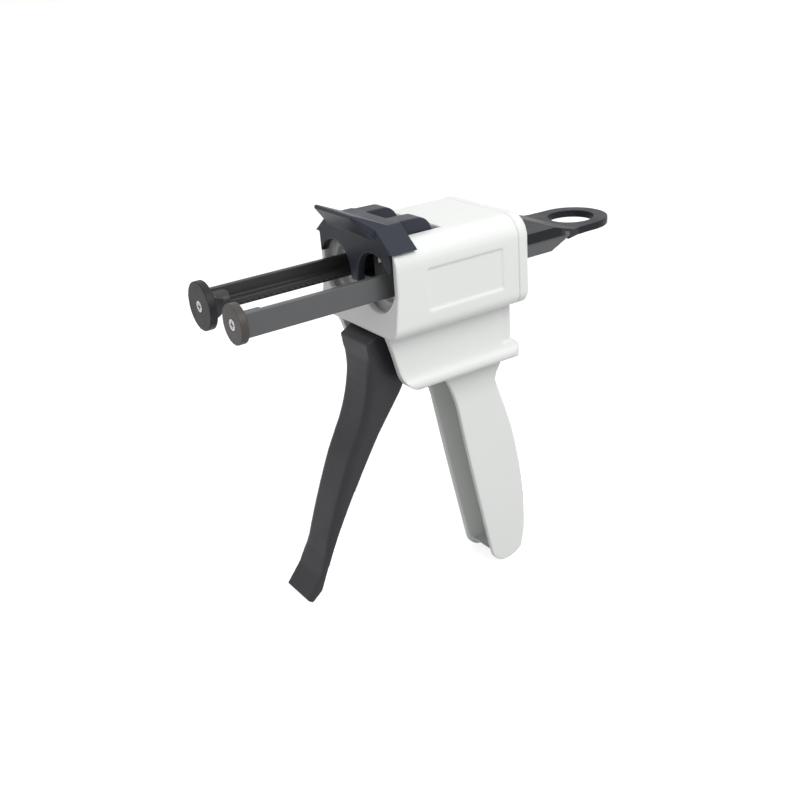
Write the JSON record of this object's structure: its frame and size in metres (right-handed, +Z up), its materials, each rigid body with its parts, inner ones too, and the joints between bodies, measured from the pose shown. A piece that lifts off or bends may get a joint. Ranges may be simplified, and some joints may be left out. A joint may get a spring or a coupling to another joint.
{
  "type": "dental dispensing tool",
  "caption": "Hand-squeezed dispensing tool for a double-barrel paste cartridge, with paired toothed plunger rods, discs, pull ring, trigger and hinged retaining lever.",
  "frame": {"origin": "middle of the cartridge seat, on the face that the cartridge rests against, level with the plunger axes", "axes": "-X is the way the paste leaves, +X is the way the plungers are pulled back, +Z is up, -Y is the operator's left"},
  "size_m": [0.179, 0.052, 0.169],
  "materials": {
    "white_plastic": "fine moulded texture",
    "lever_plastic": "satin moulded",
    "trigger_plastic": "satin moulded",
    "rod_plastic": "satin moulded",
    "disc_plastic": "satin moulded",
    "handle_plastic": "satin moulded",
    "guide_nylon": "plain moulded",
    "carriage_plastic": "glass-filled, matt",
    "frame_steel": "zinc plated",
    "spring_steel": "drawn and polished",
    "steel_fasteners": "nickel plated",
    "bush_bronze": "sintered bronze"
  },
  "bodies": {
    "frame": {"housing": "white_plastic", "rear_cover": "white_plastic", "rear_cover_screws": "steel_fasteners", "lever_pin": "steel_fasteners", "lever_detent_spring": "spring_steel", "detent_screw": "steel_fasteners", "rod_guide": "guide_nylon", "guide_screws": "steel_fasteners", "drive_frame": "frame_steel", "frame_screws": "steel_fasteners", "trigger_pin": "steel_fasteners", "trigger_bushes": "bush_bronze", "pivot_clips": "spring_steel", "trigger_return_spring": "spring_steel"},
    "lever": {"retaining_lever": "lever_plastic"},
    "squeeze_trigger": {"trigger": "trigger_plastic", "drive_pin": "steel_fasteners"},
    "carriage": {"drive_carriage": "carriage_plastic", "pawl_pin": "steel_fasteners", "pawl_spring": "spring_steel"},
    "pawl": {"drive_pawl": "frame_steel"},
    "plunger": {"small_plunger_rod": "rod_plastic", "large_plunger_rod": "rod_plastic", "small_push_disc": "disc_plastic", "large_push_disc": "disc_plastic", "disc_screws": "steel_fasteners", "pull_handle": "handle_plastic", "pull_handle_screws": "steel_fasteners"}
  },
  "joints": [
    {"name": "lever_hinge", "type": "hinge", "parent": "frame", "child": "lever", "pos_m": [0.0135, 0, 0.0142], "axis": [0, 1, 0], "range_deg": [0, 75]},
    {"name": "trigger_pivot", "type": "hinge", "parent": "frame", "child": "squeeze_trigger", "pos_m": [0.015, 0, -0.025], "axis": [0, -1, 0], "range_deg": [0, 36], "stiffness_Nm_per_rad": 0.05, "springref_deg": -34.38, "deforming": ["trigger_return_spring"]},
    {"name": "carriage_slide", "type": "slide", "parent": "frame", "child": "carriage", "axis": [-1, 0, 0], "range_m": [0, 0.0075]},
    {"name": "pawl_tilt", "type": "hinge", "parent": "carriage", "child": "pawl", "pos_m": [0.03, 0, -0.0046], "axis": [0, 1, 0], "range_deg": [0, 7]},
    {"name": "plunger_slide", "type": "slide", "parent": "frame", "child": "plunger", "axis": [1, 0, 0], "range_m": [-0.03, 0.0625]}
  ],
  "couplings": [
    {"joint": "carriage_slide", "follows": "trigger_pivot", "m_per_rad": 0.011937}
  ]
}
